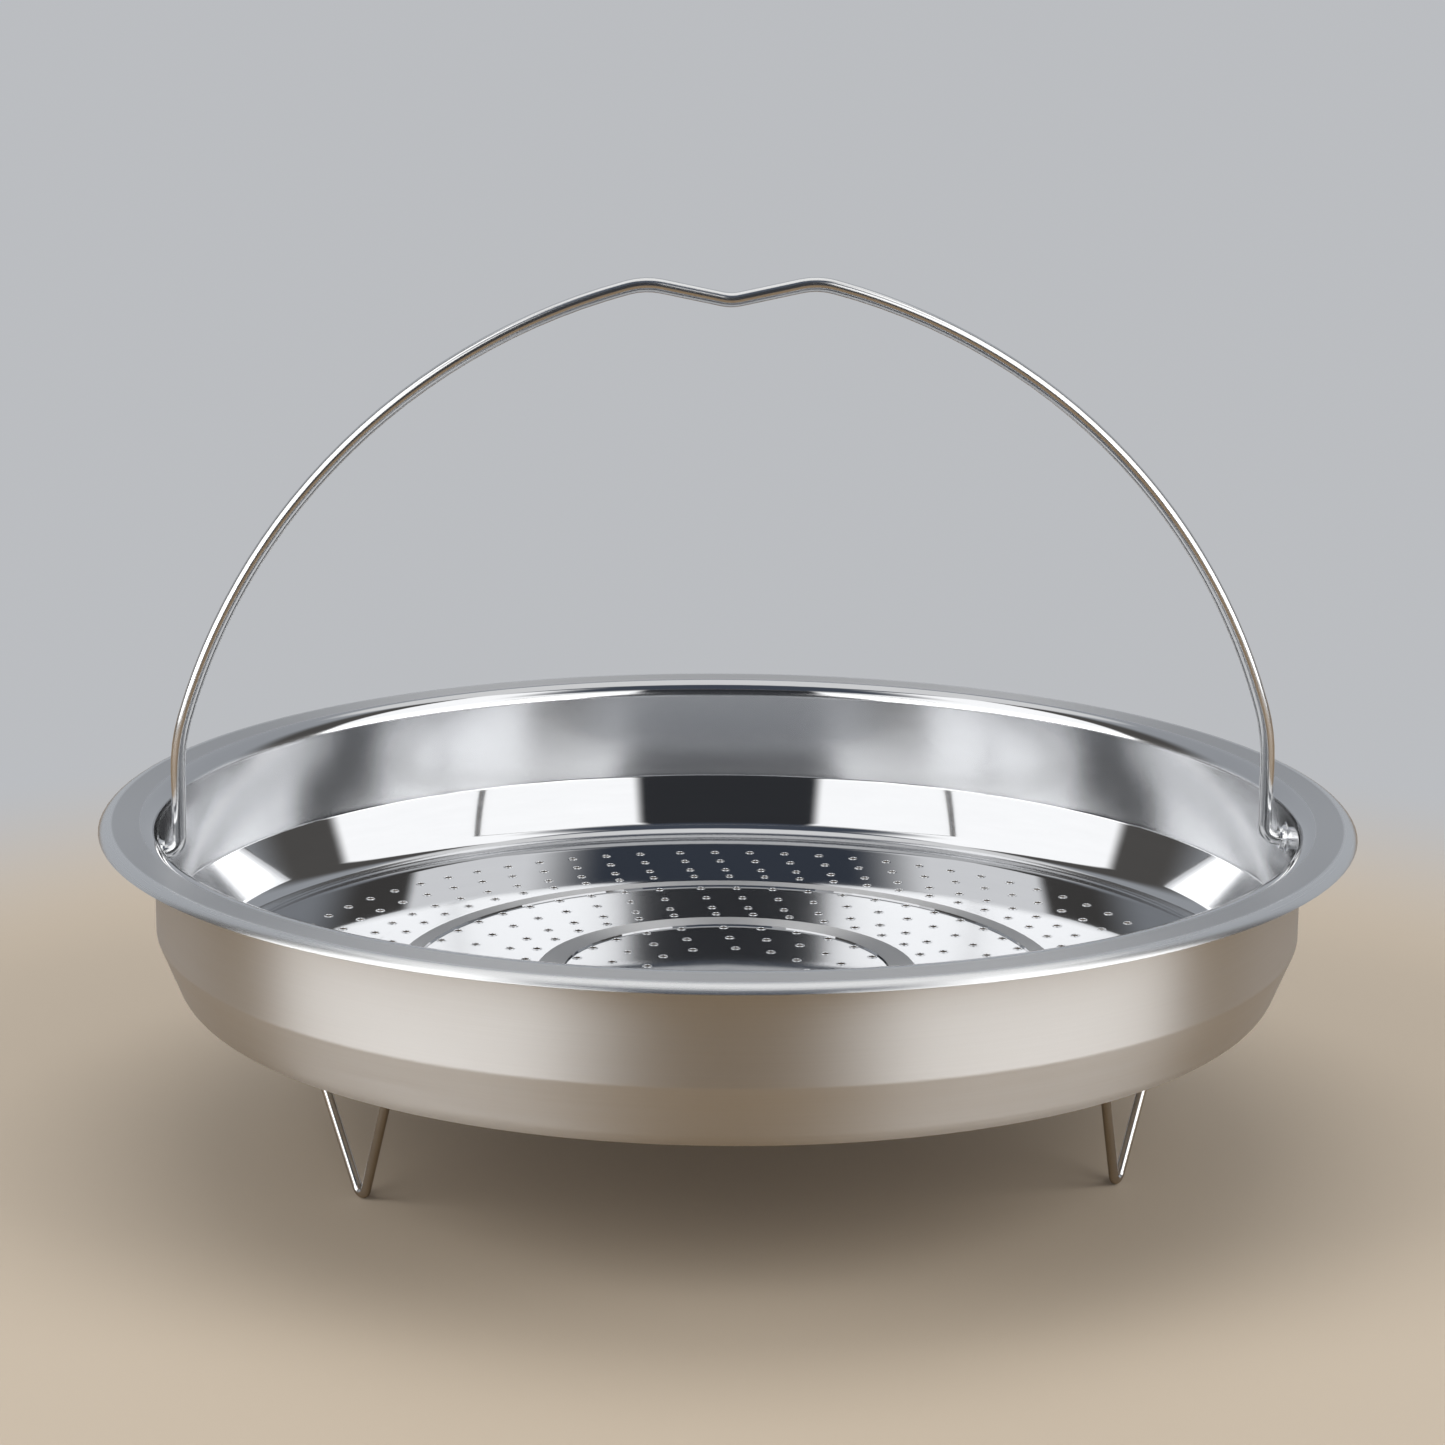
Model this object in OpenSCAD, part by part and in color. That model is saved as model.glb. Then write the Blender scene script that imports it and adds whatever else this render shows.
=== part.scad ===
// Pressed steel steamer basket that hangs or stands inside a cooking pot.
// Millimetres. The feet stand on z = 0, the basin is centred on the Z axis,
// and the bail swings about a line along X.

/* [Rim] */

// Outside diameter of the flange, measured over its turned-down edge
rim_d = 260; // [200:1:320]
// Height of the flange top above the surface the feet stand on
rim_z = 69; // [50:0.5:120]
// Sheet thickness of the whole pressing
sheet = 0.6; // [0.4:0.05:1.2]
// Outside radius of the turned-down edge
edge_r = 3; // [1:0.1:5]
// How far the edge turns down, in degrees
edge_turn = 62; // [30:1:90]
// Radius of the rolled lip between flange and wall
lip_r = 2.5; // [1:0.1:6]

/* [Basin] */

// Inside diameter of the straight wall
wall_d = 236.2; // [180:0.1:300]
// Depth of the food floor below the flange top
basin_depth = 36; // [20:0.5:80]
// Depth of the line where the straight wall starts to taper
kink_depth = 22.5; // [10:0.5:40]
// Bend radius at that line
kink_r = 2; // [1:0.1:6]
// Taper of the lower wall, in degrees from upright
taper = 22; // [5:1:40]
// Outside radius of the corner under the floor
corner_r = 5.6; // [2:0.1:12]

/* [Floor rings] */

// Inner radius of the small raised ring
ring1_r = 34.5; // [20:0.1:60]
// Width of the small raised ring
ring1_w = 5.5; // [2:0.1:10]
// Inner radius of the large raised ring
ring2_r = 66.7; // [50:0.1:90]
// Width of the large raised ring
ring2_w = 3.5; // [2:0.1:10]
// Height of both raised rings above the floor
ring_h = 0.4; // [0.2:0.05:1]
// Height of the low terrace just outside each ring
terrace_h = 0.15; // [0:0.05:0.4]
// Width of the short slopes that join these levels
ring_step = 0.3; // [0.1:0.05:1]
// Radius of the crease where the inner terrace ends
crease1_r = 46; // [40:0.1:60]
// Radius of the crease where the outer terrace ends
crease2_r = 77.9; // [70:0.1:95]

/* [Steam holes] */

// Diameter of each steam hole
hole_d = 2; // [1:0.1:4]
// Distance from hole to hole along a row
hole_pitch = 8.15; // [5:0.05:12]
// Wider distance where each row closes on itself
seam_gap = 9.4; // [8:0.1:14]
// Direction of that wider distance, in degrees from the bail line
seam_angle = 95; // [0:1:359]
// Radius of the first row inside the small ring
in_row_r = 17; // [10:0.1:30]
// Distance between the rows inside the small ring
in_row_pitch = 8; // [4:0.1:12]
// Number of rows inside the small ring
in_rows = 3; // [1:1:6]
// Radius of the single row on the inner terrace
terrace1_row_r = 43.3; // [36:0.1:60]
// Radius of the first row between the two rings
mid_row_r = 49; // [40:0.1:65]
// Distance between the rows between the two rings
mid_row_pitch = 8.1; // [4:0.1:12]
// Number of rows between the two rings
mid_rows = 3; // [1:1:6]
// Radius of the single row on the outer terrace
terrace2_row_r = 74.8; // [68:0.1:90]
// Radius of the first row outside the large ring
out_row_r = 81; // [72:0.1:95]
// Distance between the rows outside the large ring
out_row_pitch = 7.7; // [4:0.1:12]
// Number of rows outside the large ring
out_rows = 3; // [1:1:6]

/* [Bail] */

// Wire diameter of the bail
bail_wire = 3; // [1.5:0.1:5]
// Radial clearance of the bail ends in their holes
bail_clear = 0.05; // [0.02:0.01:0.3]
// Depth of the bail's hinge line below the flange top
hinge_depth = 8.5; // [6:0.5:20]
// Distance from the centre to the middle of each upright bail leg
leg_x = 113.7; // [80:0.1:140]
// Centre-line radius of the bend from leg to hinge line
foot_bend = 3; // [2:0.1:8]
// How far each bail end stands out past the wall
end_past = 2.4; // [1:0.1:6]
// Height above the hinge line where the leg starts to lean in
leg_h = 17; // [10:0.1:60]
// Centre-line radius of that bend
lean_r = 40; // [4:0.5:80]
// Angle that the leg leans in, in degrees
lean = 16.6; // [5:0.1:40]
// Centre-line radius of the long shoulder curve
shoulder_r = 129.8; // [80:0.1:250]
// Sweep of the long shoulder curve, in degrees
shoulder_turn = 58.5; // [30:0.1:80]
// Centre-line radius of the two humps
hump_r = 15; // [8:0.5:30]
// Slope of the wire from each hump down to the middle, in degrees
dip_slope = 11.9; // [5:0.1:30]
// Centre-line radius of the dip in the middle
dip_r = 9; // [5:0.5:30]

/* [Eyes] */

// Outside diameter of the mouth of the raised collar round each bail hole
collar_d = 4.5; // [3.5:0.1:8]
// Outside diameter of each collar where it flows into the wall
collar_root_d = 6.8; // [5:0.1:12]
// How far each collar stands in from the wall
collar_h = 1.4; // [0.5:0.1:3]

/* [Feet] */

// Wire diameter of the feet
foot_wire = 2; // [1.5:0.1:4]
// Distance from the centre to the point of each foot
foot_r = 88; // [60:0.5:110]
// Half of the angle between the two legs of a foot
foot_half = 28; // [15:0.5:40]
// Outward lean of each foot, in degrees
foot_lean = 4.6; // [0:0.1:12]
// Centre-line radius of the bend at the point of a foot
foot_tip_r = 2.1; // [1.5:0.1:6]
// Direction of the back foot, in degrees from the bail line
foot_angle = 90; // [0:1:359]

/* [Hidden] */

steel = [0.78, 0.79, 0.80];
bright = [0.86, 0.87, 0.88];
$fn = 96;

wall_r = wall_d / 2;
floor_top = rim_z - basin_depth;
floor_under = floor_top - sheet;
hinge_z = rim_z - hinge_depth;
eye_d = bail_wire + 2 * bail_clear;
// How far a cutter reaches past the sheet on each side.
spare = sheet;

// Centres of the four bends of the pressing, as [radius, height].
edge_c = [rim_d / 2 - edge_r * cos(90 - edge_turn), rim_z - edge_r];
lip_c = [wall_r + lip_r, rim_z - lip_r];
kink_c = [wall_r + sheet - kink_r, rim_z - kink_depth];
kink_end = kink_c + kink_r * [cos(taper), -sin(taper)];
corner_z = floor_under + corner_r;
corner_start_z = corner_z - corner_r * sin(taper);
corner_start_r = kink_end[0] - (kink_end[1] - corner_start_z) * tan(taper);
corner_c = [corner_start_r - corner_r * cos(taper), corner_z];

// Points of an arc about c from angle a to angle b, in n steps.
function arc(c, r, a, b, n) =
  [for (i = [0:n]) c + r * [cos(a + (b - a) * i / n), sin(a + (b - a) * i / n)]];

// The floor from the axis outward, at height z: raised rings and terraces.
function floor_line(z) = [
  [0, z],
  [ring1_r - ring_step, z],
  [ring1_r, z + ring_h],
  [ring1_r + ring1_w, z + ring_h],
  [ring1_r + ring1_w + ring_step, z + terrace_h],
  [crease1_r, z + terrace_h],
  [crease1_r + ring_step, z],
  [ring2_r - ring_step, z],
  [ring2_r, z + ring_h],
  [ring2_r + ring2_w, z + ring_h],
  [ring2_r + ring2_w + ring_step, z + terrace_h],
  [crease2_r, z + terrace_h],
  [crease2_r + ring_step, z]
];

function reversed(list) = [for (i = [len(list) - 1:-1:0]) list[i]];

// The skin that faces the pot, then the skin that faces the food.
outer_skin = concat(
  floor_line(floor_under),
  arc(corner_c, corner_r, -90, -taper, 12),
  arc(kink_c, kink_r, -taper, 0, 4),
  arc(lip_c, lip_r - sheet, 180, 90, 10),
  arc(edge_c, edge_r - sheet, 90, 90 - edge_turn, 8)
);
inner_skin = concat(
  floor_line(floor_top),
  arc(corner_c, corner_r - sheet, -90, -taper, 12),
  arc(kink_c, kink_r - sheet, -taper, 0, 4),
  arc(lip_c, lip_r, 180, 90, 10),
  arc(edge_c, edge_r, 90, 90 - edge_turn, 8)
);

// The radius of every row of steam holes.
row_radii = concat(
  [for (k = [0:in_rows - 1]) in_row_r + k * in_row_pitch],
  [terrace1_row_r],
  [for (k = [0:mid_rows - 1]) mid_row_r + k * mid_row_pitch],
  [terrace2_row_r],
  [for (k = [0:out_rows - 1]) out_row_r + k * out_row_pitch]
);

// One row of drills at radius r, with its wider gap at the seam.
module row(r) {
  gap = seam_gap / r * 180 / PI;
  steps = round((2 * PI * r - seam_gap) / hole_pitch);
  for (i = [0:steps])
    rotate(seam_angle + gap / 2 + i * (360 - gap) / steps)
      translate([r, 0, floor_under - spare])
        cylinder(d = hole_d, h = sheet + ring_h + 2 * spare, $fn = 24);
}

module pressing() {
  rotate_extrude($fn = 180)
    polygon(concat(outer_skin, reversed(inner_skin)));
}

// The collar drawn out of the wall round one bail hole, on the food side. Its
// flank is a hollow curve from a low foot on the wall up to the mouth.
collar_foot = sheet / 6;
flank_r = (collar_root_d - collar_d) / 2;
flank_c = [collar_root_d / 2, min(collar_foot + flank_r, collar_h)];

module collar() {
  translate([wall_r, 0, hinge_z])
    rotate([0, -90, 0])
      rotate_extrude()
        polygon(concat(
          [[0, -sheet / 2], [collar_root_d / 2, -sheet / 2]],
          arc(flank_c, flank_r, -90, -180, 6),
          [[collar_d / 2, collar_h], [0, collar_h]]
        ));
}

module eye() {
  translate([wall_r - collar_h - spare, 0, hinge_z])
    rotate([0, 90, 0])
      cylinder(d = eye_d, h = collar_h + sheet + 2 * spare);
}

module basin() {
  color(steel)
    difference() {
      union() {
        pressing();
        collar();
        rotate(180) collar();
      }
      eye();
      rotate(180) eye();
      for (r = row_radii)
        row(r);
    }
}

// Wires are drawn as straight runs and bends that stop just short of each
// other inside a round joint that stands hardly proud of the wire, so that no
// two surfaces of one wire lie on each other.
short = 0.05;
proud = 0.02;

// A joint on a wire that runs along X, with its poles buried in the wire.
module joint(d) {
  rotate([0, 90, 0])
    sphere(d = d + proud);
}

// A straight run of wire from the current point along +X.
module run(d, length) {
  translate([short, 0, 0])
    rotate([0, 90, 0])
      cylinder(d = d, h = length - 2 * short);
}

// A bend that starts at the current point along +X and turns left by a.
module bend_left(d, r, a) {
  cut = short / r * 180 / PI;
  translate([0, r, 0])
    rotate(cut - 90)
      rotate_extrude(angle = a - 2 * cut)
        translate([r, 0])
          circle(d = d);
}

module bend_right(d, r, a) {
  mirror([0, 1, 0]) bend_left(d, r, a);
}

// Where a left bend of radius r and angle a ends.
function turn(r, a) = [r * sin(a), r * (1 - cos(a)), 0];

// Distances from the centre to the ends of the shoulder curve and the hump.
shoulder_x = leg_x - lean_r * (1 - cos(lean))
  - shoulder_r * (cos(lean) - cos(lean + shoulder_turn));
hump_turn = 90 - lean - shoulder_turn + dip_slope;
hump_x = shoulder_x - hump_r * (cos(lean + shoulder_turn) + sin(dip_slope));
dip_run = (hump_x - dip_r * sin(dip_slope)) / cos(dip_slope);
dip_z = leg_h + lean_r * sin(lean)
  + shoulder_r * (sin(lean + shoulder_turn) - sin(lean))
  + hump_r * (cos(dip_slope) - sin(lean + shoulder_turn))
  - dip_run * sin(dip_slope) - dip_r * (1 - cos(dip_slope));
end_x = wall_r + sheet + end_past;

// Half of the bail drawn flat in XY, with its hinge line along X.
module half_bail() {
  // The end that turns in the eye.
  translate([leg_x + foot_bend, 0, 0]) {
    joint(bail_wire);
    run(bail_wire, end_x - leg_x - foot_bend + short);
  }
  translate([leg_x, foot_bend, 0]) {
    rotate(-90) bend_left(bail_wire, foot_bend, 90);
    rotate(90) {
      joint(bail_wire);
      run(bail_wire, leg_h - foot_bend);
      translate([leg_h - foot_bend, 0, 0]) {
        joint(bail_wire);
        bend_left(bail_wire, lean_r, lean);
        translate(turn(lean_r, lean)) rotate(lean) {
          joint(bail_wire);
          bend_left(bail_wire, shoulder_r, shoulder_turn);
          translate(turn(shoulder_r, shoulder_turn)) rotate(shoulder_turn) {
            joint(bail_wire);
            bend_left(bail_wire, hump_r, hump_turn);
            translate(turn(hump_r, hump_turn)) rotate(hump_turn) {
              joint(bail_wire);
              run(bail_wire, dip_run);
              translate([dip_run, 0, 0]) {
                joint(bail_wire);
                bend_right(bail_wire, dip_r, dip_slope);
              }
            }
          }
        }
      }
    }
  }
}

module bail() {
  color(bright)
    translate([0, 0, hinge_z])
      rotate([90, 0, 0]) {
        half_bail();
        mirror([1, 0, 0]) half_bail();
        // The middle of the dip, where the two halves meet.
        translate([0, dip_z, 0]) joint(bail_wire);
      }
}

// Height of the virtual point of a foot that puts its wire on z = 0.
foot_z = foot_wire / 2 - (foot_tip_r / sin(foot_half) - foot_tip_r) * cos(foot_lean);
// Long enough to pass the floor, where the foot is cut off.
foot_len = floor_top / (cos(foot_half) * cos(foot_lean));

module foot_leg() {
  rotate(90 - foot_half)
    translate([foot_tip_r / tan(foot_half), 0, 0]) {
      joint(foot_wire);
      run(foot_wire, foot_len);
    }
}

// One V-shaped foot, cut off level where it meets the underside of the floor.
module foot(a) {
  color(bright)
    intersection() {
      rotate(a)
        translate([foot_r, 0, foot_z])
          rotate([0, foot_lean, 0])
            rotate([90, 0, 90]) {
              foot_leg();
              mirror([1, 0, 0]) foot_leg();
              rotate(foot_half - 90)
                translate([-foot_tip_r / tan(foot_half), 0, 0])
                  bend_left(foot_wire, foot_tip_r, 2 * (90 - foot_half));
            }
      translate([-rim_d / 2, -rim_d / 2, -foot_wire])
        cube([rim_d, rim_d, floor_under + foot_wire]);
    }
}

module foot_back() {
  foot(foot_angle);
}

module foot_left() {
  foot(foot_angle + 120);
}

module foot_right() {
  foot(foot_angle + 240);
}

basin();
bail();
foot_back();
foot_left();
foot_right();
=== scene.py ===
import bmesh
import bpy
from math import cos, pi, radians, sin
from mathutils import Matrix, Vector


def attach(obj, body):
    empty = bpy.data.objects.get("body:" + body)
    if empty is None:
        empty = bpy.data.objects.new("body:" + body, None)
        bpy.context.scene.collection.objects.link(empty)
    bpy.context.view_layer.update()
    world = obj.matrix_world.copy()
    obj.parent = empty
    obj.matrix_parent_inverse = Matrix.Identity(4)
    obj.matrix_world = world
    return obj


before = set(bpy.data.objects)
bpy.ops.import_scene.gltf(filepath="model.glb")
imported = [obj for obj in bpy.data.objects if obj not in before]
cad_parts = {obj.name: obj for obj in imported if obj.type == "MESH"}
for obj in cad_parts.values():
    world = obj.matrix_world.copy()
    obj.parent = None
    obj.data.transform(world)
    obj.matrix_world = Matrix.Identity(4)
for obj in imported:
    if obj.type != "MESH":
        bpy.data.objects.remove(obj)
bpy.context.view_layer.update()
mm = 0.001


# A shader socket that takes part in ordinary sums.
class Wire:
    def __init__(self, tree, socket=None):
        self.tree = tree
        self.socket = socket

    # Adds a node: settings first, then the values or links of its inputs.
    def node(self, kind, settings=None, inputs=None, output=0):
        new = self.tree.nodes.new(kind)
        for key, value in (settings or {}).items():
            setattr(new, key, value)
        for key, value in (inputs or {}).items():
            if isinstance(value, Wire):
                self.tree.links.new(value.socket, new.inputs[key])
            else:
                new.inputs[key].default_value = value
        return Wire(self.tree, new.outputs[output])

    def sum(self, operation, a, b=None):
        values = {0: a} if b is None else {0: a, 1: b}
        return self.node("ShaderNodeMath", {"operation": operation}, values)

    def __add__(self, other):
        return self.sum("ADD", self, other)

    def __radd__(self, other):
        return self.sum("ADD", other, self)

    def __sub__(self, other):
        return self.sum("SUBTRACT", self, other)

    def __rsub__(self, other):
        return self.sum("SUBTRACT", other, self)

    def __mul__(self, other):
        return self.sum("MULTIPLY", self, other)

    def __rmul__(self, other):
        return self.sum("MULTIPLY", other, self)

    def __truediv__(self, other):
        return self.sum("DIVIDE", self, other)

    def __rtruediv__(self, other):
        return self.sum("DIVIDE", other, self)

    def limit(self, low, high):
        return self.sum("MINIMUM", self.sum("MAXIMUM", self, low), high)

    # 0 up to low, 1 from high on, and smooth between.
    def step(self, low, high):
        return self.node("ShaderNodeMapRange", {"interpolation_type": "SMOOTHSTEP"},
                         {"Value": self, "From Min": low, "From Max": high})

    # 1 between low and high, with soft edges of the given width.
    def band(self, low, high, soft):
        return self.step(low - soft, low + soft) * (1 - self.step(high - soft, high + soft))


# The parts of a vector, as three sockets.
def parts(wire, whole):
    split = wire.node("ShaderNodeSeparateXYZ", {}, {0: whole}).socket.node
    return [Wire(wire.tree, split.outputs[i]) for i in range(3)]


def newMaterial(name):
    material = bpy.data.materials.new(name)
    material.use_nodes = True
    material.node_tree.nodes.clear()
    return material, Wire(material.node_tree)


def outputNode(wire, shader):
    out = wire.tree.nodes.new("ShaderNodeOutputMaterial")
    wire.tree.links.new(shader.socket, out.inputs["Surface"])


# Place on the object: x, y, z in metres and the distance from the axis.
def places(wire):
    x, y, z = parts(wire, wire.node("ShaderNodeTexCoord", output="Object"))
    return x, y, z, wire.sum("SQRT", x * x + y * y)


def vector(wire, x, y, z):
    return wire.node("ShaderNodeCombineXYZ", {}, {0: x, 1: y, 2: z})


# Noise on coordinates that already hold its scale in each direction.
def noise(wire, place, detail, rough):
    return wire.node("ShaderNodeTexNoise", {"noise_dimensions": "3D"},
                     {"Vector": place, "Scale": 1.0, "Detail": detail, "Roughness": rough})


def blend(wire, factor, first, second):
    return wire.node("ShaderNodeMix", {"data_type": "RGBA"},
                     {0: factor, 6: first, 7: second}, output=2)


# Normals blended by a factor from the first to the second.
def blendNormal(wire, factor, first, second):
    return wire.node("ShaderNodeMix", {"data_type": "VECTOR"},
                     {0: factor, 4: first, 5: second}, output=1)


def bump(wire, height, depth, skin=None):
    inputs = {"Height": height, "Distance": depth}
    if skin:
        inputs["Normal"] = skin
    return wire.node("ShaderNodeBump", {}, inputs)


# Finish of the pressed basin, with some painted light and shade in its colours, and places in
# metres.
basinLook = {
    # The outer wall is painted lighter than the rest of the steel: painted light for the glow the
    # floor reflects onto it. The streaks between its two colours are the brushing's own tone.
    "paintedLightWall": (0.93, 0.94, 0.945, 1),
    "paintedLightWallDark": (0.85, 0.86, 0.865, 1),
    "satinColour": (0.61, 0.61, 0.615, 1),
    "satinDark": (0.54, 0.54, 0.545, 1),
    # The turned-down edge is painted lighter than the flange: a painted highlight that brightens
    # its glint line.
    "edgePaintedGlint": (0.78, 0.785, 0.79, 1),
    "edgeRough": 0.26,
    "edgeInner": (126.9 * mm, 127.5 * mm),  # where the turned-down edge begins
    "satinRough": 0.36,
    "wallRough": 0.44,
    "polishColour": (0.61, 0.616, 0.628, 1),
    "polishDark": (0.57, 0.576, 0.588, 1),
    # The straight inner wall is painted lighter: a painted highlight over its real drawing marks.
    "drawnPaintedHighlight": (0.84, 0.845, 0.855, 1),
    "floorPaintedShade": (0.50, 0.508, 0.522, 1),   # painted shade: the basin floor is a little darker than the wall
    "floorOuter": (108.0 * mm, 110.0 * mm),
    "polishRough": 0.04,
    "drawnRough": 0.16,     # the straight wall keeps faint drawing marks
    "drawnFoot": (45.5 * mm, 47.5 * mm),    # heights where those marks and the painted highlight begin
    "drawnTop": (66.4 * mm, 67.2 * mm),     # and end
    "ringRough": 0.65,
    # noise scales per metre: in X and Y, then across the brush lines or in Z
    "grain": (22.0, 3200.0),
    "patch": (30.0, 90.0),
    "wave": (26.0, 26.0),
    "buff": (60.0, 900.0),
    # how much roughness each noise adds from its lowest to its highest
    "grainInRough": 0.10,
    "patchInRough": 0.05,
    "buffInRough": 0.03,
    "grainInTone": 0.6,
    "patchInTone": 0.3,
    "grainDepth": 0.012 * mm,
    "waveDepth": 0.06 * mm,
    "satinGrain": 0.88,     # how far highlights stretch across the brushing
    "polishGrain": 0.3,
    "grainTurn": 0.25,
    "flangeInner": (121.3 * mm, 121.7 * mm),
    "flangeHeight": (66.0 * mm, 66.5 * mm),
    "rings": ((34.3 * mm, 40.2 * mm), (66.5 * mm, 70.4 * mm)),
    "ringSoft": 0.08 * mm,
    "ringHeight": (33.28 * mm, 33.38 * mm),
    "ringTop": (40.0 * mm, 41.0 * mm),
    "taper": radians(22),
    # centres of the bends, as radius and height
    "corner": (109.38 * mm, 38.0 * mm),
    "kink": (116.7 * mm, 46.5 * mm),
    "lip": (121.6 * mm, 65.5 * mm),
    "edge": (127.35 * mm, 66.0 * mm),
    "eyeHeight": 60.5 * mm,
    "eyeReach": (3.4 * mm, 4.0 * mm),
    "insideFrom": (-0.05, 0.05),    # slope where the food side begins
    "evenFrom": (0.82, 0.90),       # cosine to the even turn from where it holds
    "leastOut": 0.01 * mm,          # keeps the corner's angle on one side of its centre
}


# The direction of the food side, turning evenly through each bend of the sheet.
def foodSide(wire, x, y, z, radius):
    look = basinLook
    angles = {}
    for bend in ("corner", "kink", "lip", "edge"):
        out, up = radius - look[bend][0], z - look[bend][1]
        if bend == "corner":
            out = wire.sum("MAXIMUM", out, look["leastOut"])
        if bend in ("lip", "edge"):
            up = wire.sum("MAXIMUM", up, 0.0)
        angles[bend] = wire.sum("ARCTAN2", up, out)
    taper = look["taper"]
    angle = angles["corner"].limit(-pi / 2, -taper) + angles["kink"].limit(-taper, 0.0) \
        + angles["lip"].limit(pi / 2, pi) + angles["edge"].limit(0.0, pi / 2) + (taper - pi / 2)
    level = wire.sum("COSINE", angle) / radius
    return level * x, level * y, wire.sum("SINE", angle)


def makeSheetSteel():
    look = basinLook
    material, wire = newMaterial("sheetSteel")
    x, y, z, radius = places(wire)
    normal = wire.node("ShaderNodeNewGeometry", output="True Normal")
    nx, ny, nz = parts(wire, normal)
    outward = (nx * x + ny * y) / radius
    inside = (nz - outward).step(*look["insideFrom"])
    fx, fy, fz = foodSide(wire, x, y, z, radius)
    facing = nx * fx + ny * fy + nz * fz
    side = wire.sum("SIGN", facing)
    overEye = z - look["eyeHeight"]
    fromEye = wire.sum("SQRT", y * y + overEye * overEye)
    agree = wire.sum("ABSOLUTE", facing)
    even = agree.step(*look["evenFrom"]) * fromEye.step(*look["eyeReach"])
    skin = blendNormal(wire, even, normal, vector(wire, fx * side, fy * side, fz * side))
    flange = radius.step(*look["flangeInner"]) * z.step(*look["flangeHeight"])
    innerRing, outerRing = (radius.band(low, high, look["ringSoft"]) for low, high in look["rings"])
    rings = (innerRing + outerRing) * z.step(*look["ringHeight"]) * (1 - z.step(*look["ringTop"]))
    polished = inside * (1 - flange) * (1 - rings)

    # Brush lines run round the axis on every satin face.
    wide, fine = look["grain"]
    grain = noise(wire, vector(wire, x * wide, y * wide, (z - radius) * fine),
                  detail=3.0, rough=0.6)
    wide, tall = look["patch"]
    patch = noise(wire, vector(wire, x * wide, y * wide, z * tall), detail=2.0, rough=0.5)
    streak = grain * look["grainInTone"] + patch * look["patchInTone"]
    # Painted light: the outer wall's lighter colours stand in for the reflected glow.
    paintedLightWallBase = blend(wire, streak, look["paintedLightWallDark"], look["paintedLightWall"])
    flangeBase = blend(wire, streak, look["satinDark"], look["satinColour"])
    satinBase = blend(wire, flange + rings, paintedLightWallBase, flangeBase)
    # Painted highlight: the turned-down edge takes a lighter colour.
    edge = radius.step(*look["edgeInner"])
    satinBase = blend(wire, edge, satinBase, look["edgePaintedGlint"])
    satinRough = look["wallRough"] + flange * (look["satinRough"] - look["wallRough"]) \
        + edge * (look["edgeRough"] - look["satinRough"]) \
        + rings * (look["ringRough"] - look["wallRough"]) \
        + (grain - 0.5) * look["grainInRough"] + (patch - 0.5) * look["patchInRough"]
    satin = wire.node("ShaderNodeBsdfPrincipled", {}, {
        "Base Color": satinBase, "Metallic": 1.0, "Roughness": satinRough,
        "Anisotropic": look["satinGrain"], "Anisotropic Rotation": look["grainTurn"],
        "Normal": bump(wire, grain, look["grainDepth"], skin)})

    # The food side is buffed bright, with the slight waves of pressed sheet.
    wide, tall = look["wave"]
    wave = noise(wire, vector(wire, x * wide, y * wide, z * tall), detail=1.5, rough=0.4)
    wide, fine = look["buff"]
    buff = noise(wire, vector(wire, x * wide, y * wide, (z - radius) * fine),
                 detail=3.0, rough=0.6)
    drawn = z.step(*look["drawnFoot"]) * (1 - z.step(*look["drawnTop"]))
    polishRough = look["polishRough"] + (buff - 0.5) * look["buffInRough"] \
        + drawn * (look["drawnRough"] - look["polishRough"])
    polishBase = blend(wire, buff, look["polishDark"], look["polishColour"])
    # Painted highlight: the straight wall takes a lighter colour where its drawing marks roughen
    # it.
    polishBase = blend(wire, drawn, polishBase, look["drawnPaintedHighlight"])
    # Painted shade: the floor of the basin takes a darker colour.
    polishBase = blend(wire, radius.step(*look["floorOuter"]), look["floorPaintedShade"], polishBase)
    polish = wire.node("ShaderNodeBsdfPrincipled", {}, {
        "Base Color": polishBase, "Metallic": 1.0, "Roughness": polishRough,
        "Anisotropic": look["polishGrain"], "Anisotropic Rotation": look["grainTurn"],
        "Normal": bump(wire, wave, look["waveDepth"], skin)})
    outputNode(wire, wire.node("ShaderNodeMixShader", {}, {0: polished, 1: satin, 2: polish}))
    return material


# The small raised lip that punching leaves round every steam hole.
rimShape = {
    "mouth": 0.80 * mm,     # radius of the opening it leaves
    "width": 0.32 * mm,
    "height": 0.15 * mm,
    "sunk": 0.1 * mm,       # how deep it sits in the floor, and in the hole
    "holeSunk": 0.5 * mm,
    "sides": 12,
    "floor": 33.0 * mm,
    "terrace": 0.15 * mm,   # lift of the single rows beside the raised rings
    "pitch": 8.15 * mm,
    "seamGap": 9.4 * mm,    # wider pitch where each row closes
    "seamAngle": radians(95),
    "grain": 900.0,         # noise scale per metre
    "dark": (0.66, 0.665, 0.675, 1),
    "colour": (0.80, 0.805, 0.815, 1),
    "rough": (0.12, 0.24),
    "grainDepth": 0.02 * mm,
    # first radius in mm, step to the next row, and number of rows
    "rows": ((17, 8, 3), (43.3, 8, 1), (49, 8.1, 3), (74.8, 8, 1), (81, 7.7, 3)),
}


def holePlaces():
    shape = rimShape
    for first, step, count in shape["rows"]:
        lift = shape["terrace"] if count == 1 else 0.0
        for k in range(count):
            radius = (first + k * step) * mm
            gap = shape["seamGap"] / radius
            steps = round((2 * pi * radius - shape["seamGap"]) / shape["pitch"])
            for i in range(steps + 1):
                angle = shape["seamAngle"] + gap / 2 + i * (2 * pi - gap) / steps
                yield Vector((radius * cos(angle), radius * sin(angle), shape["floor"] + lift))


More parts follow.
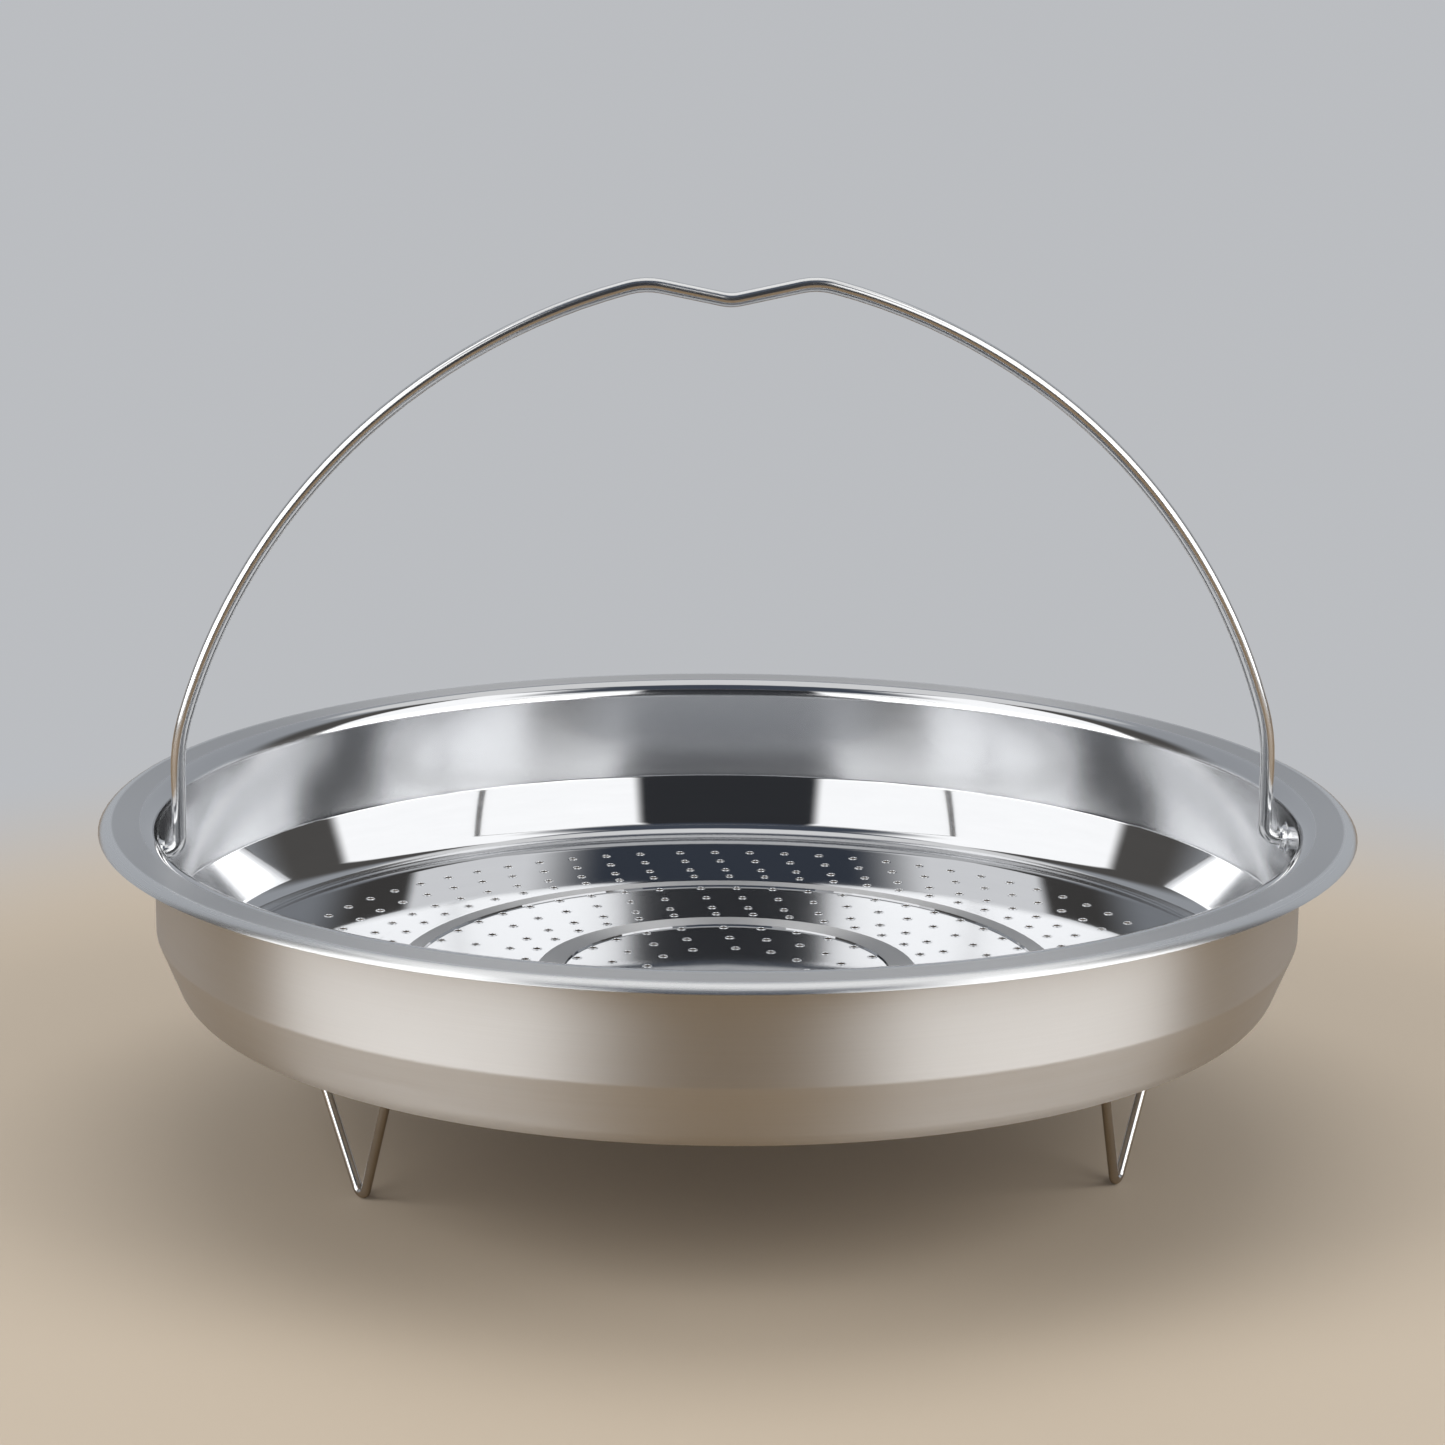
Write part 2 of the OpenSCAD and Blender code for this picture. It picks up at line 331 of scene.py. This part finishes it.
def makeHoleRims():
    shape = rimShape
    mouth, width, height = shape["mouth"], shape["width"], shape["height"]
    profile = ((mouth + 0.2 * width, -shape["holeSunk"]), (mouth, 0.5 * height),
               (mouth + 0.2 * width, height), (mouth + 0.6 * width, 0.75 * height),
               (mouth + width, 0.0), (mouth + 0.6 * width, -shape["sunk"]))
    bm = bmesh.new()
    verts = [bm.verts.new((r, 0, z)) for r, z in profile]
    edges = [bm.edges.new(pair) for pair in zip(verts, verts[1:] + verts[:1])]
    bmesh.ops.spin(bm, geom=verts + edges, cent=(0, 0, 0), axis=(0, 0, 1), dvec=(0, 0, 0),
                   angle=2 * pi, steps=shape["sides"], use_merge=True)
    bmesh.ops.recalc_face_normals(bm, faces=bm.faces)
    one = bpy.data.meshes.new("oneRim")
    bm.to_mesh(one)
    bm.free()

    bm = bmesh.new()
    for place in holePlaces():
        start = len(bm.verts)
        bm.from_mesh(one)
        bm.verts.ensure_lookup_table()
        bmesh.ops.translate(bm, verts=bm.verts[start:], vec=place)
    for face in bm.faces:
        face.smooth = True
    mesh = bpy.data.meshes.new("hole_rims")
    bm.to_mesh(mesh)
    bm.free()
    rims = bpy.data.objects.new("hole_rims", mesh)
    bpy.context.collection.objects.link(rims)
    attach(rims, "basket")
    return rims


def makeRimSteel():
    shape = rimShape
    material, wire = newMaterial("rimSteel")
    x, y, z, radius = places(wire)
    scale = shape["grain"]
    grain = noise(wire, vector(wire, x * scale, y * scale, z * scale), detail=2.0, rough=0.5)
    smooth, rough = shape["rough"]
    shader = wire.node("ShaderNodeBsdfPrincipled", {}, {
        "Base Color": blend(wire, grain, shape["dark"], shape["colour"]),
        "Metallic": 1.0, "Roughness": smooth + grain * (rough - smooth),
        "Normal": bump(wire, grain, shape["grainDepth"])})
    outputNode(wire, shader)
    return material


# Finish of the bent wires.
wireLook = {
    "colour": (0.80, 0.805, 0.81, 1),
    "dark": (0.70, 0.70, 0.70, 1),
    "rough": 0.17,
    # noise scales per metre, along X, Y and Z
    "grain": (300.0, 300.0, 300.0),
    "smear": (60.0, 300.0, 60.0),
    "grainInRough": 0.04,
    "smearInRough": 0.08,
    "grainDepth": 0.0015 * mm,
}


# Middle line of the bent bail, half of it, with heights over its hinge.
bailShape = {
    "hinge": 60.5 * mm,
    "legOut": 113.7 * mm,
    "legStart": (3.3 * mm, 3.5 * mm),   # height over which the bend into the eye ends
    "legHeight": 17.0 * mm,
    "leanRadius": 40.0 * mm,
    "lean": radians(16.6),
    "shoulderRadius": 129.8 * mm,
    "shoulderTurn": radians(58.5),
    "humpRadius": 15.0 * mm,
    "dipSlope": radians(11.9),
    "dipRadius": 9.0 * mm,
}


# The outward direction of the bail's wire, turning evenly along its bends.
def bailFace(wire, x, y, z):
    shape = bailShape
    out = wire.sum("ABSOLUTE", x)
    up = z - shape["hinge"]

    def roundBend(centre, bend):
        dx, dz = out - centre[0], up - centre[1]
        scale = 1 - bend / wire.sum("SQRT", dx * dx + dz * dz)
        return dx * scale, dz * scale

    def at(centre, reach, angle):
        return centre[0] + reach * cos(angle), centre[1] + reach * sin(angle)

    angle, shoulderRadius = shape["lean"], shape["shoulderRadius"]
    leanCentre = (shape["legOut"] - shape["leanRadius"], shape["legHeight"])
    leanEnd = at(leanCentre, shape["leanRadius"], angle)
    shoulderCentre = at(leanEnd, -shoulderRadius, angle)
    angle += shape["shoulderTurn"]
    shoulderEnd = at(shoulderCentre, shoulderRadius, angle)
    humpCentre = at(shoulderEnd, -shape["humpRadius"], angle)
    slope = shape["dipSlope"]
    humpEnd = at(humpCentre, shape["humpRadius"], pi / 2 + slope)
    dipOut = shape["dipRadius"] * sin(slope)
    dipRise = (humpEnd[0] - dipOut) * sin(slope) / cos(slope)
    dipCentre = (0.0, humpEnd[1] - dipRise + shape["dipRadius"] * cos(slope))
    across = (humpEnd[0] - out) * sin(slope) + (up - humpEnd[1]) * cos(slope)

    # From the middle of the dip outward, then down the leg.
    dx, dz = roundBend(dipCentre, shape["dipRadius"])
    zones = (
        (out, dipOut, (across * -sin(slope), across * cos(slope))),
        (out, humpEnd[0], roundBend(humpCentre, shape["humpRadius"])),
        (out, shoulderEnd[0], roundBend(shoulderCentre, shoulderRadius)),
        (0 - up, -leanEnd[1], roundBend(leanCentre, shape["leanRadius"])),
        (0 - up, -shape["legHeight"], (out - shape["legOut"], 0.0)),
    )
    for along, start, (nextX, nextZ) in zones:
        past = wire.sum("GREATER_THAN", along, start)
        dx = dx + past * (nextX - dx)
        dz = dz + past * (nextZ - dz)
    local = vector(wire, dx * wire.sum("SIGN", x), y, dz)
    turned = wire.node("ShaderNodeVectorTransform", {
        "vector_type": "NORMAL", "convert_from": "OBJECT", "convert_to": "WORLD"}, {0: local})
    face = wire.node("ShaderNodeVectorMath", {"operation": "NORMALIZE"}, {0: turned})
    plain = wire.node("ShaderNodeNewGeometry", output="Normal")
    return blendNormal(wire, up.step(*shape["legStart"]), plain, face)


def makeWireSteel(name, isBail=False):
    look = wireLook
    material, wire = newMaterial(name)
    x, y, z, radius = places(wire)
    skin = bailFace(wire, x, y, z) if isBail else None
    sx, sy, sz = look["grain"]
    grain = noise(wire, vector(wire, x * sx, y * sy, z * sz), detail=3.0, rough=0.6)
    sx, sy, sz = look["smear"]
    smear = noise(wire, vector(wire, x * sx, y * sy, z * sz), detail=2.0, rough=0.5)
    shader = wire.node("ShaderNodeBsdfPrincipled", {}, {
        "Base Color": blend(wire, smear, look["dark"], look["colour"]),
        "Metallic": 1.0,
        "Roughness": look["rough"] + (smear - 0.5) * look["smearInRough"]
        + (grain - 0.5) * look["grainInRough"],
        "Normal": bump(wire, grain, look["grainDepth"], skin)})
    outputNode(wire, shader)
    return material


def wear(nodeName, material):
    part = bpy.data.objects[nodeName]
    for slot in part.material_slots:
        slot.material = material
    if not part.material_slots:
        part.data.materials.append(material)


print("materials")
wear("basin", makeSheetSteel())
wear("bail", makeWireSteel("bailSteel", isBail=True))
footSteel = makeWireSteel("footSteel")
for name in ("foot_back", "foot_left", "foot_right"):
    wear(name, footSteel)

print("steam hole rims")
holeRims = makeHoleRims()
holeRims.data.materials.append(makeRimSteel())


# The studio: floor, backdrop, the room seen in the metal, and three lamps.
studio = {
    "floorRadius": 4.0,
    "floorSides": 96,
    "floorRough": 0.6,
    "floorColour": (0.40, 0.335, 0.26, 1),
    "floorInMetal": (0.20, 0.138, 0.078, 1),    # what the metal shows of it
    "backColour": (0.497, 0.510, 0.532, 1),
    "fade": (0.21, 0.36),   # where the floor melts into the backdrop
    "front": (-0.0767, -0.9970),        # level direction of the viewer's side
    "dimFront": (0.925, 0.945),         # cosines from the front where it dims
    "widerLow": (0.10, 0.30, 0.09),     # heights below which the dim part is wider
    "glowSide": (-0.12, -0.05),         # and where the glow at each side begins
    "paleBack": (0.32, 0.62),           # and where the pale back begins
    "glowFoot": (-0.02, 0.10),          # heights where the glow begins
    "highFoot": (0.60, 0.74),           # and where the high part over it does
    "glow": (3.7, 1.58),                # its strength near the ground and higher up
    "glowFalls": (0.06, 0.30),
    "highFront": (0.45, 0.80),          # where the dim front reaches high up
    "ceilingAxis": 75.0,                # its height in degrees, over the back
    "ceiling": (0.84, 0.89),            # cosines from that axis where it begins
    "dimRing": (0.88, 0.92),            # height of the dim ring below the ceiling
    "ceilingTone": (1.0, 1.0, 1.0, 1),
    "roomTone": (0.11, 0.105, 0.10, 1),
    "frontTone": (0.040, 0.042, 0.047, 1),
    "highTone": (0.080, 0.095, 0.125, 1),
    "glowTone": (1.0, 1.0, 1.0, 1),
    "backTone": (0.44, 0.46, 0.49, 1),
    "lampAim": (0.0, 0.0, 0.05),
    "lamps": (
        # name, azimuth from the front in degrees, height, distance, width, tall, watts
        ("softLeft", -70, 0.80, 1.15, 0.8, 0.8, 7.0),
        ("softRight", 64, 0.80, 1.15, 0.8, 0.8, 7.0),
        ("softTop", 180, 1.60, 0.25, 1.3, 0.9, 10.0),
    ),
}


def makeFloor():
    bm = bmesh.new()
    bmesh.ops.create_circle(bm, cap_ends=True, segments=studio["floorSides"],
                            radius=studio["floorRadius"])
    mesh = bpy.data.meshes.new("studio_floor")
    bm.to_mesh(mesh)
    bm.free()
    floor = bpy.data.objects.new("studio_floor", mesh)
    bpy.context.collection.objects.link(floor)
    material, wire = newMaterial("floorPaint")
    x, y, z, radius = places(wire)
    mirrored = wire.node("ShaderNodeLightPath", output="Is Glossy Ray")
    paint = wire.node("ShaderNodeBsdfPrincipled", {}, {
        "Base Color": blend(wire, mirrored, studio["floorColour"], studio["floorInMetal"]),
        "Roughness": studio["floorRough"]})
    air = wire.node("ShaderNodeEmission", {}, {"Color": studio["backColour"]})
    camera = wire.node("ShaderNodeLightPath", output="Is Camera Ray")
    far = radius.step(*studio["fade"]) * camera
    outputNode(wire, wire.node("ShaderNodeMixShader", {}, {0: far, 1: paint, 2: air}))
    mesh.materials.append(material)


# The backdrop is an even pale grey. The room that lights the object and shows
# in the metal is pale behind, dim in front, with a soft glow at each side and
# a pale ceiling over the back.
def makeWorld():
    world = bpy.data.worlds.new("studioAir")
    world.use_nodes = True
    bpy.context.scene.world = world
    world.node_tree.nodes.clear()
    wire = Wire(world.node_tree)
    east, north, height = parts(wire, wire.node("ShaderNodeTexCoord", output="Generated"))
    level = wire.sum("SQRT", east * east + north * north + 0.0001)  # never nought
    ahead = (east * studio["front"][0] + north * studio["front"][1]) / level
    near, far, wider = studio["widerLow"]
    front = (ahead + (1 - height.step(near, far)) * wider).step(*studio["dimFront"])
    sides = ahead.step(*studio["glowSide"]) * (1 - front)
    highFront = height.step(*studio["highFoot"]) * ahead.step(*studio["highFront"])
    high = wire.sum("MAXIMUM", highFront, height.step(*studio["dimRing"]))
    sides = sides * height.step(*studio["glowFoot"]) * (1 - high)
    back = (0 - ahead).step(*studio["paleBack"])
    tilt = radians(studio["ceilingAxis"])
    overhead = height * sin(tilt) - ahead * level * cos(tilt)
    ceiling = overhead.step(*studio["ceiling"])
    room = blend(wire, front, studio["roomTone"], studio["frontTone"])
    room = blend(wire, back, room, studio["backTone"])
    room = blend(wire, high, room, studio["highTone"])
    room = blend(wire, sides, room, studio["glowTone"])
    room = blend(wire, ceiling, room, studio["ceilingTone"])
    camera = wire.node("ShaderNodeLightPath", output="Is Camera Ray")
    colour = blend(wire, camera, room, studio["backColour"])
    strong, weak = studio["glow"]
    glow = strong + height.step(*studio["glowFalls"]) * (weak - strong)
    strength = 1 + sides * (1 - camera) * (1 - ceiling) * (glow - 1)
    air = wire.node("ShaderNodeBackground", {}, {"Color": colour, "Strength": strength})
    out = world.node_tree.nodes.new("ShaderNodeOutputWorld")
    world.node_tree.links.new(air.socket, out.inputs["Surface"])


def makeLamps():
    aim = Vector(studio["lampAim"])
    for name, azimuth, height, distance, width, tall, watts in studio["lamps"]:
        data = bpy.data.lights.new(name, "AREA")
        data.shape = "RECTANGLE"
        data.size = width
        data.size_y = tall
        data.energy = watts
        lamp = bpy.data.objects.new(name, data)
        bpy.context.collection.objects.link(lamp)
        lamp.visible_glossy = False
        side = radians(azimuth)
        lamp.location = (distance * sin(side), -distance * cos(side), height)
        lamp.rotation_euler = (aim - lamp.location).to_track_quat("-Z", "Y").to_euler()


# Where the object is looked at from.
viewpoint = {
    "place": (-0.0623, -0.8102, 0.2761),
    "forward": (0.0732, 0.9712, -0.2270),
    "roll": 0.0071,
    "lens": 100.1,
    "sensor": 36.0,
    "farthest": 50.0,
}


def makeCamera():
    data = bpy.data.cameras.new("camera")
    data.lens = viewpoint["lens"]
    data.sensor_width = viewpoint["sensor"]
    data.clip_end = viewpoint["farthest"]
    camera = bpy.data.objects.new("camera", data)
    bpy.context.collection.objects.link(camera)
    forward = Vector(viewpoint["forward"]).normalized()
    level = forward.cross(Vector((0, 0, 1))).normalized()
    up = level.cross(forward)
    turn = viewpoint["roll"]
    right = level * cos(turn) + up * sin(turn)
    top = right.cross(forward)
    axes = Matrix((right, top, -forward)).transposed()
    camera.matrix_world = Matrix.Translation(viewpoint["place"]) @ axes.to_4x4()
    bpy.context.scene.camera = camera


print("studio")
makeFloor()
makeWorld()
makeLamps()
makeCamera()
bpy.context.scene.view_settings.view_transform = "Standard"

print("done")
